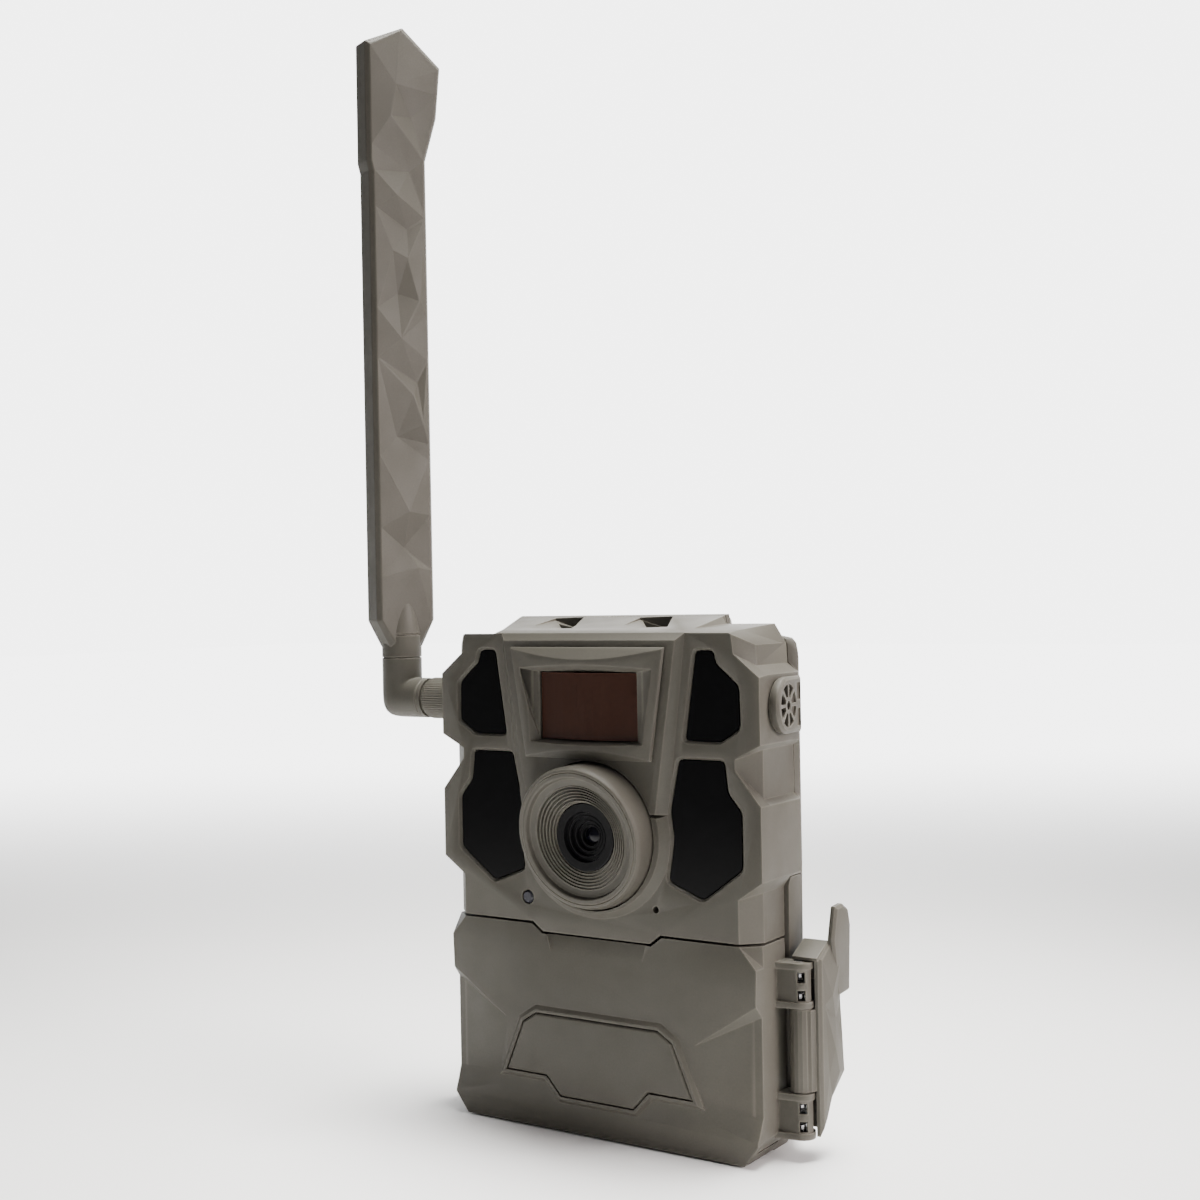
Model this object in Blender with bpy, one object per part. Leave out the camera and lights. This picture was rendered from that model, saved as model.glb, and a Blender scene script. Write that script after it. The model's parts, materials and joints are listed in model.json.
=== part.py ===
"""Trail camera: a compact cellular wildlife camera with a whip antenna, modelled as separate pieces.

Sizes are in millimetres and become metres when a mesh is made. X runs to the viewer's right, Z up,
and every shape is placed by its depth behind the front face. The base rests on Z = 0.
"""

import math

import bmesh
import bpy
from mathutils import Matrix, Vector

MM = 0.001
FRONT_Y = -30.0  # the front face of the bezel; depth 0
GAP = 0.3  # clearance between pieces that touch or slide
CASE_SCREWS = {"lower": (31.0, 63.6), "upper": (26.5, 126.5)}  # half spacing and height of each pair
BRACKET_SCREWS = {"left": (-17.0, 99.0), "right": (17.0, 99.0), "lower": (0.0, 42.0)}

# The two seams between the front shells and the rear housing.
LOWER_SEAM = 16.5
UPPER_SEAM = 22.3
SEAM_STEP_Z = 74.4
DOOR_TOP = 57.7
BEZEL_BOTTOM = 58.4
REAR_DEPTH = 50.0

# Half outlines of the shells below the roof, from the shoulder down: (half width, height).
FRONT_HALF = [
    (44.3, 139.4), (44.9, 134.2), (52.5, 128.1), (52.5, 110.5), (44.9, 106.6), (44.9, 103.7), (52.4, 94.5),
    (52.4, 74.9), (45.2, 69.9), (45.2, BEZEL_BOTTOM),
]
SIDE_HALF = [
    (49.0, 136.4), (49.3, 131.0), (52.5, 128.6), (52.5, 110.5), (50.6, 109.0), (50.6, 96.0), (52.5, 94.5),
    (52.5, 75.0), (50.0, 71.5), (50.0, BEZEL_BOTTOM),
]
HOUSING_NEAR_HALF = [
    (48.8, 137.2), (49.3, 135.8), (49.4, 131.4), (52.3, 128.6), (52.3, 110.6), (50.6, 109.0), (50.6, 96.0),
    (52.3, 94.6), (52.3, 75.0), (51.4, 72.0), (51.0, 12.0), (45.5, 0.0),
]
HOUSING_HALF = [
    (49.8, 137.8), (51.0, 136.4), (51.5, 133.8), (51.5, 128.6), (51.5, 110.6), (51.5, 109.0), (51.5, 96.0),
    (51.5, 94.6), (51.5, 75.0), (51.4, 72.0), (51.0, 12.0), (45.5, 0.0),
]
CAVITY_FRONT_HALF = [
    (41.5, 135.4), (42.3, 134.2), (42.5, 132.4), (50.0, 126.8), (50.0, 111.9), (43.6, 108.0), (43.6, 102.8),
    (50.0, 93.5), (50.0, 76.2), (42.8, 71.2), (42.8, 60.8),
]
CAVITY_SIDE_HALF = [
    (41.5, 135.4), (45.0, 133.4), (46.4, 132.0), (47.6, 128.8), (47.6, 112.0), (47.6, 108.0), (47.6, 102.8),
    (47.6, 93.5), (47.6, 78.0), (43.8, 74.6), (43.8, 60.8),
]

# The roof: a hump that climbs with depth between two shoulders. The left flank spreads as it goes back.
HUMP_FRONT_Z = 139.8
HUMP_SLOPE = 0.188
HUMP_RIGHT_X = 30.3
HUMP_LEFT_X = 31.8
HUMP_LEFT_SPREAD = 0.376

# Infrared windows and the parts of the front face.
UPPER_WINDOW = [(29.6, 110.9), (40.5, 110.8), (46.4, 114.6), (46.2, 125.8), (39.4, 131.6), (38.7, 135.1),
                (33.2, 135.1)]
LOWER_WINDOW = [(34.5, 68.8), (46.5, 77.7), (46.5, 92.8), (42.4, 97.7), (41.5, 106.1), (27.6, 106.1),
                (24.6, 92.0), (25.6, 84.4), (24.4, 76.8), (23.8, 73.0)]
LENS_Z = 84.0
HOOD_TILT = math.tan(math.radians(9))  # the hood's rim leans forward at the top
PIR_MIDDLE_Z = 119.7
PIR_HALF_WIDTH = 16.1
PIR_HALF_HEIGHT = 9.5
PANEL_RISE = 1.8  # how far the panel round the sensor frame stands out
STATUS_AT = (-22.7, 65.1)
MICROPHONE_AT = (19.9, 65.2)
SIDE_PORT = (14.4, 119.8)  # depth and height of the antenna socket
VENT_AT = (11.9, 120.2)  # depth and height of the vent's ring
VENT_RADIUS = 7.5

# Two pockets in the roof, each a ramp's corners and the hole at its deep end: (x, depth).
ROOF_POCKETS = [
    (
        [(-26.3, 5.7), (-25.7, 20.4), (-16.4, 21.6), (-10.2, 6.4)],
        [(-23.6, 18.9), (-16.8, 21.2), (-11.2, 9.6), (-14.2, 10.0)],
    ),
    (
        [(5.3, 5.3), (3.8, 20.4), (13.9, 21.6), (20.5, 7.6)],
        [(4.6, 20.2), (13.4, 21.2), (19.2, 9.4), (10.7, 13.3)],
    ),
]

# Antenna.
NUT_END = -68.4  # where the nut stops and the elbow starts
STEM_X = -80.0
STEM_RADIUS = 6.1
SWIVEL_Z = 132.0
PADDLE_AZIMUTH = math.radians(67)  # which way the blade's broad face looks
PADDLE_HALF_THICKNESS = 4.5
PADDLE_OUTLINE = [
    (-5.4, 135.4), (5.4, 135.4), (9.7, 143.6), (9.5, 286.0), (13.6, 300.0), (15.2, 316.0), (2.4, 326.5),
    (-10.5, 320.5), (-10.6, 284.0), (-9.8, 281.0), (-9.8, 143.6),
]

# Door, hinge and latch.
HINGE = (-54.6, 16.6)  # x and depth of the hinge pin
LATCH = (55.3, 14.6)  # x and depth of the latch pin
PLINTH = 0.8  # how far the raised field round the door's plate stands out
LUG_PAIRS = ((5.9, 17.9), (40.4, 52.4))  # each pair of the door's lugs, bottom and top
LUG_THICKNESS = 1.7
LUG_RADIUS = 3.6
# The latch's lever and its finger tab from the side: (depth, height).
LATCH_PLATE = [
    (15.3, 6.4), (18.7, 10.4), (21.6, 15.1), (29.6, 20.5), (28.6, 31.6), (27.6, 40.5), (28.2, 50.6),
    (25.0, 55.6), (21.0, 56.8), (15.3, 53.4),
]
LATCH_TAB = [
    (24.4, 41.5), (31.8, 42.0), (31.4, 60.0), (29.8, 64.6), (26.6, 66.3), (22.4, 66.0), (20.8, 57.6), (22.5, 50.0),
]
DOOR_HALF_FRONT = [
    (45.2, DOOR_TOP), (50.1, 52.0), (49.8, 43.5), (50.0, 39.5), (50.0, 13.4), (49.8, 6.0), (45.6, 0.5),
]
DOOR_HALF_SIDE = [
    (50.0, DOOR_TOP), (50.2, 52.0), (50.2, 43.5), (50.2, 39.5), (50.2, 13.4), (50.0, 7.0), (45.8, 0.5),
]
STEP_OUTER = 21.0  # the seam steps down between these half widths
STEP_INNER = 17.6
STEP_DROP = 2.6
LIP_DEPTH = 1.8  # how deep the bezel's lip is where the seam steps down

# Battery tray.
TRAY_X = -13.0
CELL_RADIUS = 7.0
CELL_PITCH = 14.3
CELL_LENGTH = 50.4
CELL_COLUMNS = 4
ROW_DEPTHS = (11.9, 27.5)
BAY_LOW = (-43.1, 15.0, 3.2)
BAY_HIGH = (17.1, 35.6, 56.6)

TAUPE = (0.30, 0.27, 0.235)
DARK_TAUPE = (0.17, 0.155, 0.135)
BLACK = (0.012, 0.012, 0.013)
BOARD_GREEN = (0.02, 0.12, 0.06)
STEEL = (0.55, 0.55, 0.55)
BRASS = (0.72, 0.55, 0.22)


def clear_scene():
    for thing in list(bpy.data.objects):
        bpy.data.objects.remove(thing, do_unlink=True)


def material(name, colour, roughness=0.6, metallic=0.0):
    """One Principled material, reused by every piece that names it."""
    found = bpy.data.materials.get(name)
    if found:
        return found
    made = bpy.data.materials.new(name)
    made.use_nodes = True
    shader = made.node_tree.nodes["Principled BSDF"]
    shader.inputs["Base Color"].default_value = (*colour, 1.0)
    shader.inputs["Roughness"].default_value = roughness
    shader.inputs["Metallic"].default_value = metallic
    return made


# ---------------------------------------------------------------- shapes, in (x, depth, z)


def loft(rings):
    """A closed solid through rings of equal length, capped at both ends."""
    shape = bmesh.new()
    rows = [[shape.verts.new(point) for point in ring] for ring in rings]
    count = len(rings[0])
    for near, far in zip(rows, rows[1:]):
        for i in range(count):
            j = (i + 1) % count
            shape.faces.new((near[i], near[j], far[j], far[i]))
    shape.faces.new(rows[0])
    shape.faces.new(rows[-1])
    bmesh.ops.recalc_face_normals(shape, faces=shape.faces)
    return shape


def slab(outline, near, far):
    """An (x, z) outline extruded from one depth to another."""
    return loft([[(x, depth, z) for x, z in outline] for depth in (near, far)])


def column(outline, low, high):
    """An (x, depth) outline extruded upwards."""
    return loft([[(x, depth, z) for x, depth in outline] for z in (low, high)])


def stacked(*layers):
    """A solid through outlines of (x, z), each paired with its depth."""
    return loft([[(x, depth, z) for x, z in outline] for outline, depth in layers])


def side_plate(outline, near, far, chamfer):
    """A plate seen from the side, given as (depth, height), from x = near to x = far with a chamfered rim."""
    layers = ((outline, near), (outline, far - chamfer), (shrunk(outline, chamfer), far))
    return loft([[(x, d, z) for d, z in ring] for ring, x in layers])


def block(low, high):
    (x0, d0, z0), (x1, d1, z1) = low, high
    return column([(x0, d0), (x1, d0), (x1, d1), (x0, d1)], z0, z1)


def turn_to(axis):
    """The rotation that takes an upright axis to X, to depth (D) or leaves it upright (Z)."""
    return {
        "X": Matrix.Rotation(math.radians(90), 4, "Y"),
        "D": Matrix.Rotation(math.radians(-90), 4, "X"),
        "Z": Matrix.Identity(4),
    }[axis]


def turned(profile, centre, axis, steps=32):
    """A closed (radius, along) profile spun about an axis through centre. Axis is X, D (depth) or Z."""
    shape = bmesh.new()
    spine = [shape.verts.new((radius, 0, along)) for radius, along in profile]
    edges = [shape.edges.new((a, b)) for a, b in zip(spine, spine[1:] + spine[:1])]
    bmesh.ops.spin(shape, geom=spine + edges, cent=(0, 0, 0), axis=(0, 0, 1), angle=math.tau, steps=steps,
                   use_duplicate=False)
    bmesh.ops.remove_doubles(shape, verts=shape.verts, dist=1e-4)
    loose = [edge for edge in shape.edges if not edge.link_faces]
    bmesh.ops.delete(shape, geom=loose, context="EDGES")
    shape.transform(Matrix.Translation(Vector(centre)) @ turn_to(axis))
    bmesh.ops.recalc_face_normals(shape, faces=shape.faces)
    return shape


def disc(radius, near, far, centre, axis, steps=32):
    """A plain cylinder; near and far are measured along the axis from centre."""
    angles = [math.tau * (i + 0.5) / steps for i in range(steps)]
    edge = [(radius * math.cos(a), radius * math.sin(a)) for a in angles]
    shape = loft([[(x, y, along) for x, y in edge] for along in (near, far)])
    shape.transform(Matrix.Translation(Vector(centre)) @ turn_to(axis))
    return shape


def mirrored(half, bottom=()):
    """A whole outline from its right half, which runs from the top down; bottom points sit between."""
    left = [(-x, z) for x, z in reversed(half)]
    under = list(bottom) + [(-x, z) for x, z in reversed(bottom)]
    return list(half) + under + left


def arc(centre, radius, start, end, count):
    """Points on a circle between two angles in degrees."""
    angles = [math.radians(start + (end - start) * i / count) for i in range(count + 1)]
    return [(centre[0] + radius * math.cos(a), centre[1] + radius * math.sin(a)) for a in angles]


def swept(path, radius, sides):
    """A round rod along a path of points, capped at its ends."""
    rings = []
    for i, point in enumerate(path):
        ahead = path[min(i + 1, len(path) - 1)] - path[max(i - 1, 0)]
        frame = ahead.to_track_quat("Z", "Y").to_matrix()
        angles = [math.tau * s / sides for s in range(sides)]
        rings.append([point + frame @ Vector((radius * math.cos(a), radius * math.sin(a), 0)) for a in angles])
    return loft(rings)


# ---------------------------------------------------------------- objects


def add(name, shape, finish, pivot=(0.0, 30.0, 0.0), smooth=None):
    """Makes one object in metres with its origin at pivot, given as (x, depth, z)."""
    origin = Vector((pivot[0], FRONT_Y + pivot[1], pivot[2]))
    shape.transform(Matrix.Translation((0, FRONT_Y, 0)))
    shape.transform(Matrix.Scale(MM, 4) @ Matrix.Translation(-origin))
    mesh = bpy.data.meshes.new(name)
    shape.to_mesh(mesh)
    shape.free()
    mesh.materials.append(finish)
    if smooth:
        mesh.shade_smooth()
        mesh.set_sharp_from_angle(angle=math.radians(smooth))
    part = bpy.data.objects.new(name, mesh)
    part.location = origin * MM
    bpy.context.scene.collection.objects.link(part)
    return part


def combine(part, shape, operation):
    """Joins a shape to a part or cuts it away, and keeps the tool as a hidden object."""
    number = len(part.modifiers) + 1
    tool = add(f"{part.name}_tool_{number}", shape, part.data.materials[0])
    tool.hide_render = True
    tool.display_type = "WIRE"
    step = part.modifiers.new(f"{operation.lower()}_{number}", "BOOLEAN")
    step.operation = operation
    step.object = tool
    return part


def cut(part, *shapes):
    for shape in shapes:
        combine(part, shape, "DIFFERENCE")
    return part


def join(part, *shapes):
    for shape in shapes:
        combine(part, shape, "UNION")
    return part


def flipped(outline):
    """The same outline on the left side, still running the same way round."""
    return [(-x, z) for x, z in reversed(outline)]


def rounded(outline, radius, steps=2):
    """The outline with each corner replaced by a short curve that starts radius away from it."""
    curved = []
    for i, here in enumerate(outline):
        corner = Vector(here)
        start = corner + (Vector(outline[i - 1]) - corner).normalized() * radius
        end = corner + (Vector(outline[(i + 1) % len(outline)]) - corner).normalized() * radius
        for t in (k / steps for k in range(steps + 1)):
            curved.append(tuple(start * (1 - t) ** 2 + corner * 2 * t * (1 - t) + end * t ** 2))
    return curved


def shrunk(outline, amount):
    """The outline moved in by amount along the bisector of each corner."""
    area = sum(x0 * z1 - x1 * z0 for (x0, z0), (x1, z1) in zip(outline, outline[1:] + outline[:1]))
    side = 1 if area > 0 else -1
    moved = []
    for i, here in enumerate(outline):
        point = Vector(here)
        before = (point - Vector(outline[i - 1])).normalized()
        after = (Vector(outline[(i + 1) % len(outline)]) - point).normalized()
        inward = side * (before.orthogonal() + after.orthogonal())
        moved.append(tuple(point + inward * amount / (1 + before.dot(after))))
    return moved


# ---------------------------------------------------------------- shells


def roof_half(side, depth, shoulder, edge):
    """Points of the roof on one side, from the hump out: crest, foot of its flank, shoulder edge."""
    crest = HUMP_RIGHT_X if side > 0 else HUMP_LEFT_X + HUMP_LEFT_SPREAD * depth
    return [(crest, HUMP_FRONT_Z + HUMP_SLOPE * depth), (crest + 1.3, shoulder), (edge, shoulder)]


def shell_ring(half, depth, shoulders, edge, bottom=()):
    """One ring of a shell at a depth; shoulders are the shoulder heights on the right and on the left."""
    right = roof_half(1, depth, shoulders[0], edge) + list(half)
    left = roof_half(-1, depth, shoulders[1], edge) + list(half)
    under = list(bottom) + [(-x, z) for x, z in reversed(bottom)]
    return [(x, depth, z) for x, z in right + under + flipped(left)]


def make_front_bezel(finish):
    """Upper front shell with four window openings, the sensor frame's opening and the lens bore."""
    step = [(STEP_OUTER, BEZEL_BOTTOM), (STEP_INNER, BEZEL_BOTTOM)]
    bezel = add("front_bezel", loft([
        shell_ring(FRONT_HALF, 0, (139.7, 139.7), 43.6, step),
        shell_ring(SIDE_HALF, 5, (140.4, 139.0), 44.6, step),
        shell_ring(SIDE_HALF, 20.5, (141.7, 138.6), 46.6, step),
        shell_ring(SIDE_HALF, UPPER_SEAM, (138.6, 138.4), 46.8, step),
    ]), finish)
    lip = [(STEP_OUTER, BEZEL_BOTTOM + 1), (STEP_OUTER, BEZEL_BOTTOM), (STEP_INNER, BEZEL_BOTTOM - STEP_DROP)]
    join(bezel, slab(lip + flipped(lip), 0, LIP_DEPTH))
    cut(bezel, loft([
        [(x, 2.6, z) for x, z in mirrored(CAVITY_FRONT_HALF)],
        [(x, 6.5, z) for x, z in mirrored(CAVITY_SIDE_HALF)],
        [(x, UPPER_SEAM + 2, z) for x, z in mirrored(CAVITY_SIDE_HALF)],
    ]))
    for side in (1, -1):
        near_x, far_x = sorted((side * 46, side * 60))
        cut(bezel, block((near_x, LOWER_SEAM, 50), (far_x, 26, SEAM_STEP_Z)))
        for outline in (UPPER_WINDOW, LOWER_WINDOW):
            cut(bezel, window_cutter(outline if side > 0 else flipped(outline)))
        for x, z in CASE_SCREWS.values():
            join(bezel, disc(3.1, 2.2, UPPER_SEAM - 0.4, (side * x, 0, z), "D", 10))
            cut(bezel, disc(1.65, 12, 30, (side * x, 0, z), "D", 8))
    join(bezel, raised_panel(), lens_collar())
    cut(bezel, disc(20.7, -4, 6, (0, 0, LENS_Z), "D", 36))
    sensor_hole = PIR_HALF_WIDTH + 2.2
    cut(bezel, block((-sensor_hole, -3, PIR_MIDDLE_Z - 11.7), (sensor_hole, 5, PIR_MIDDLE_Z + 11.7)))
    cut(bezel, disc(2.1, -3, 5, (STATUS_AT[0], 0, STATUS_AT[1]), "D", 12))
    cut(bezel, disc(0.95, -3, 5, (MICROPHONE_AT[0], 0, MICROPHONE_AT[1]), "D", 12))
    cut(bezel, disc(3.4, -60, -44, (0, *SIDE_PORT), "X", 16))
    cut(bezel, disc(5.3, 44, 60, (0, *VENT_AT), "X", 16))
    for pocket, hole in ROOF_POCKETS:
        low_x, high_x = min(x for x, depth in hole) - 1.6, max(x for x, depth in hole) + 1.6
        join(bezel, block((low_x, 8.2, 134.2), (high_x, UPPER_SEAM - 0.3, 137.5)))
        cut(bezel, roof_ramp(pocket), column(hole, 135.6, 150))
    return bezel


def window_cutter(outline):
    """Cuts a window opening with rounded corners and a narrow chamfered rim."""
    curved = rounded(outline, 1.2)
    wide = shrunk(curved, -0.65)
    return stacked((wide, -3), (wide, 0.05), (curved, 0.8), (curved, 3.4))


def raised_panel():
    """The panel behind the sensor frame: a wedge that narrows towards the lens, chamfered all round."""
    face = mirrored([(28.3, 137.8), (21.2, 91.0)])
    foot = mirrored([(30.4, HUMP_FRONT_Z - 0.05), (24.3, 91.0)])
    return stacked((face, -PANEL_RISE), (foot, 0), (foot, 1))


def lens_collar():
    """The sloped band that runs round the lower part of the hood, joins the panel's edges and thins below."""
    crest, foot, root = [], [], []
    for x, z in arc((0, LENS_Z), 1, 15.6, -195.6, 26):
        low = max(0.0, LENS_Z - z) ** 2
        crest_radius, foot_radius = 22.4 - 1.1 * low, 24.9 - 1.9 * low
        crest.append((x * crest_radius, -PANEL_RISE, LENS_Z + (z - LENS_Z) * crest_radius))
        foot.append((x * foot_radius, 0, LENS_Z + (z - LENS_Z) * foot_radius))
        root.append((foot[-1][0], 1, foot[-1][2]))
    return loft([crest, foot, root])


def roof_ramp(corners):
    """A wedge sunk in the roof: it starts flush at its front left corner and falls to the right and back."""
    drops = (-0.3, 0.7, 3.9, 1.7)
    floor = [(x, depth, HUMP_FRONT_Z + HUMP_SLOPE * depth - drop) for (x, depth), drop in zip(corners, drops)]
    ramp = loft([floor, [(x, depth, 150.0) for x, depth in corners]])
    bmesh.ops.triangulate(ramp, faces=ramp.faces)
    return ramp


def make_rear_housing(finish):
    """Rear shell: an electronics bay above a shelf, the battery bay and the control bay below it."""
    near = LOWER_SEAM + GAP
    housing = add("rear_housing", loft([
        housing_ring(HOUSING_NEAR_HALF, near, 0, 0),
        housing_ring(HOUSING_NEAR_HALF, UPPER_SEAM + GAP, 0, 0),
        housing_ring(HOUSING_HALF, 24.5, 0, 0.1),
        housing_ring(HOUSING_HALF, 29.0, 2.5, 0.8),
        housing_ring(HOUSING_HALF, 36.0, 5.7, 2.0),
        housing_ring(HOUSING_HALF, 47.5, 12.1, 6.5),
        housing_ring(HOUSING_HALF, REAR_DEPTH, 14.6, 9.0, 2.5),
    ]), finish)
    cut(housing, block((-70, 10, SEAM_STEP_Z - GAP), (70, UPPER_SEAM + GAP, 160)))
    cut(housing, block((-46 - GAP, 10, DOOR_TOP + 0.1), (46 + GAP, UPPER_SEAM + GAP, 100)))
    upper = [(41.0, 134.4), (45.0, 131.6), (46.2, 128.4), (47.0, 77.5), (43.5, 74.2), (43.5, 60.9)]
    middle = [(39.5, 133.4), (43.6, 130.6), (44.8, 127.5), (45.6, 77.5), (43.0, 74.2), (42.0, 60.9)]
    rear = [(31.0, 126.5), (34.0, 123.0), (34.5, 119.0), (35.5, 77.5), (33.5, 74.2), (33.5, 60.9)]
    cut(housing, loft([
        [(x, 20.0, z) for x, z in mirrored(upper)],
        [(x, 25.5, z) for x, z in mirrored(upper)],
        [(x, 31.0, z) for x, z in mirrored(middle)],
        [(x, 47.5, z) for x, z in mirrored(rear)],
    ]))
    cut(housing, block(BAY_LOW, BAY_HIGH))
    cut(housing, block((19.4, near + 2.2, 4.4), (43.2, 34.0, 55.0)))
    cut(housing, block((19.4, 33.5, 6.0), (30.0, 47.6, 38.0)))
    cut(housing, block((34.0, 23.5, 54.0), (41.0, 30.0, 62.0)))
    cut(housing, block((28.9, 14, 38.2), (33.1, 20, 50.8)))
    cut(housing, disc(3.1, 14, 20, (31.0, 0, 26.0), "D", 12))
    cut(housing, block((22.6, 14, 8.2), (25.3, 20, 33.4)))
    cut(housing, block((48.0, 21.8, 16.5), (60, 26.4, 39.5)))
    for side in (1, -1):
        for x, z in CASE_SCREWS.values():
            join(housing, disc(4.3, UPPER_SEAM + 2, 48.2, (side * x, 0, z), "D", 10))
            cut(housing, disc(1.7, 10, 60, (side * x, 0, z), "D", 8))
            cut(housing, disc(3.1, 44.5, 60, (side * x, 0, z), "D", 10))
    for x, z in BRACKET_SCREWS.values():
        cut(housing, disc(1.25, 40, 60, (x, 0, z), "D", 8))
    for outline, depth, far in ((main_seal_outline(), 10, 24.2), (door_seal_outline(), 10, 18.4)):
        cut(housing, ring_slab(outline, 0.75, depth, far))
    pin_x, pin_depth = HINGE
    knuckle = [(pin_x, pin_depth + 0.3), (-49.0, pin_depth + 0.3), (-49.0, pin_depth + 3.6), (pin_x, pin_depth + 3.0)]
    join(housing, column(knuckle, 18.4, 41.6))
    join(housing, disc(3.0, 18.4, 41.6, (HINGE[0], HINGE[1], 0), "Z", 16))
    cut(housing, disc(1.3, 10, 50, (HINGE[0], HINGE[1], 0), "Z", 12))
    return housing


def housing_ring(half, depth, inset, fall, base=0.0):
    """A ring of the rear housing: sides drawn in by inset, roof lowered by fall, floor at base."""
    climb = min(depth, 25.0)
    rise = -0.35 * fall if depth > 25 else 0.0
    outer = []
    for x, z in half:
        lowered = z - fall * max(0.0, z - 75) / 65
        outer.append((x - inset, lowered if z else base))
    sides = []
    for side in (1, -1):
        roof = roof_half(side, climb, 138.4, 46.8)
        falls = (0.65 * fall, fall, fall)
        sides.append([(x - inset, z + rise - drop) for (x, z), drop in zip(roof, falls)] + outer)
    right, left = sides
    return [(x, depth, z) for x, z in right + flipped(left)]


def main_seal_outline():
    """Centre line of the seal between bezel and housing."""
    return mirrored([(42.6, 136.6), (47.4, 133.2), (48.7, 129.0), (48.7, 77.0), (44.9, 73.0), (44.9, 59.6)])


def door_seal_outline():
    """Centre line of the seal round the battery and control bays."""
    return mirrored([(44.9, 57.3), (44.9, 1.8)])


def ring_slab(outline, half_width, near, far):
    """A flat band that follows a closed outline, as one solid."""
    shape = bmesh.new()
    loops = []
    for depth in (near, far):
        for amount in (-half_width, half_width):
            loops.append([shape.verts.new((x, depth, z)) for x, z in shrunk(outline, amount)])
    outer_near, inner_near, outer_far, inner_far = loops
    count = len(outline)
    for i in range(count):
        j = (i + 1) % count
        for a, b in ((outer_near, inner_near), (inner_near, inner_far), (inner_far, outer_far), (outer_far, outer_near)):
            shape.faces.new((a[i], a[j], b[j], b[i]))
    bmesh.ops.recalc_face_normals(shape, faces=shape.faces)
    return shape


def make_seals(rubber):
    add("housing_seal", ring_slab(main_seal_outline(), 0.5, UPPER_SEAM + 0.1 + GAP / 2, 23.9), rubber)
    add("door_seal", ring_slab(door_seal_outline(), 0.5, LOWER_SEAM + 0.15, 18.1), rubber)


# ---------------------------------------------------------------- optics and front pieces


def make_windows(gloss):
    names = {"upper": UPPER_WINDOW, "lower": LOWER_WINDOW}
    for level, outline in names.items():
        for side, word in ((1, "right"), (-1, "left")):
            shape = shrunk(rounded(outline, 1.2), GAP)
            add(f"ir_window_{level}_{word}", slab(shape if side > 0 else flipped(shape), 0.7, 2.5), gloss)


def make_pir_frame(finish):
    """Raised frame round the motion sensor's window. Its face bows forward in the middle, so that its
    chamfered top and bottom edges curve, and a collar runs through the bezel."""
    count = 12
    back = -PANEL_RISE - GAP
    rings = []
    for i in range(count + 1):
        across = 2 * i / count - 1
        proud = 0.9 + 2.3 * math.cos(math.pi / 2 * across)
        slant = 1.25 * (proud - 0.5)
        top_x, bottom_x = 25.4 * across, 20.8 * across
        rings.append([
            (top_x, back, 136.0),
            (top_x, back - 0.5, 136.0),
            (top_x * 0.985, back - proud, 136.0 - slant),
            (bottom_x * 0.985, back - proud, 105.2 + 0.8 * slant),
            (bottom_x, back - 0.5, 105.2),
            (bottom_x, back, 105.2),
        ])
    frame = add("pir_frame", loft(rings), finish)
    collar = PIR_HALF_WIDTH + 1.9
    join(frame, block((-collar, back - 0.6, PIR_MIDDLE_Z - 11.4), (collar, 4.2, PIR_MIDDLE_Z + 11.4)))
    wide = mirrored([(29.4, 131.4), (21.8, 109.1)])
    low, high = PIR_MIDDLE_Z - PIR_HALF_HEIGHT, PIR_MIDDLE_Z + PIR_HALF_HEIGHT
    narrow = mirrored([(PIR_HALF_WIDTH, high), (PIR_HALF_WIDTH, low)])
    cut(frame, stacked((wide, -5.6), (narrow, -1.6), (narrow, 6)))
    return frame


def make_pir_lens(finish):
    """Curved Fresnel window, bowed about an upright axis, with side skirts."""
    half = PIR_HALF_WIDTH - GAP
    bow = 12
    stations = [2 * i / bow - 1 for i in range(bow + 1)]
    front = [(half * across, -1.0 - 1.9 * math.cos(math.pi / 2 * across)) for across in stations]
    back = [(x * (half - 1.2) / half, depth + 1.2) for x, depth in reversed(front)]
    outline = front + [(half, 4.0), (half - 1.2, 4.0)] + back + [(-half + 1.2, 4.0), (-half, 4.0)]
    height = PIR_HALF_HEIGHT - GAP
    add("pir_lens", column(outline, PIR_MIDDLE_Z - height, PIR_MIDDLE_Z + height), finish)


def make_lens_hood(finish):
    """Round hood with a stepped funnel; its rim leans forward at the top."""
    steps = 6
    band, throat = 14.2, 9.5
    profile = [(20.2, 4.4), (20.2, -1.6), (19.7, -7.4), (19.2, -8.3), (17.4, -8.2), (16.6, -7.3)]
    for i in range(steps):
        radius = band - (band - throat) * i / steps
        depth = -6.4 + 2.0 * i / steps
        profile += [(radius, depth), (radius - 0.6 * (band - throat) / steps, depth + 0.1)]
    profile += [(throat, -4.2), (throat, 4.4)]
    shape = turned(profile, (0, 0, LENS_Z), "D", 32)
    for vertex in shape.verts:
        forward = max(0.0, min(1.0, (-1.6 - vertex.co.y) / 5.0))
        vertex.co.y -= HOOD_TILT * (vertex.co.z - LENS_Z) * forward
    add("lens_hood", shape, finish, smooth=30)


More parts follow.
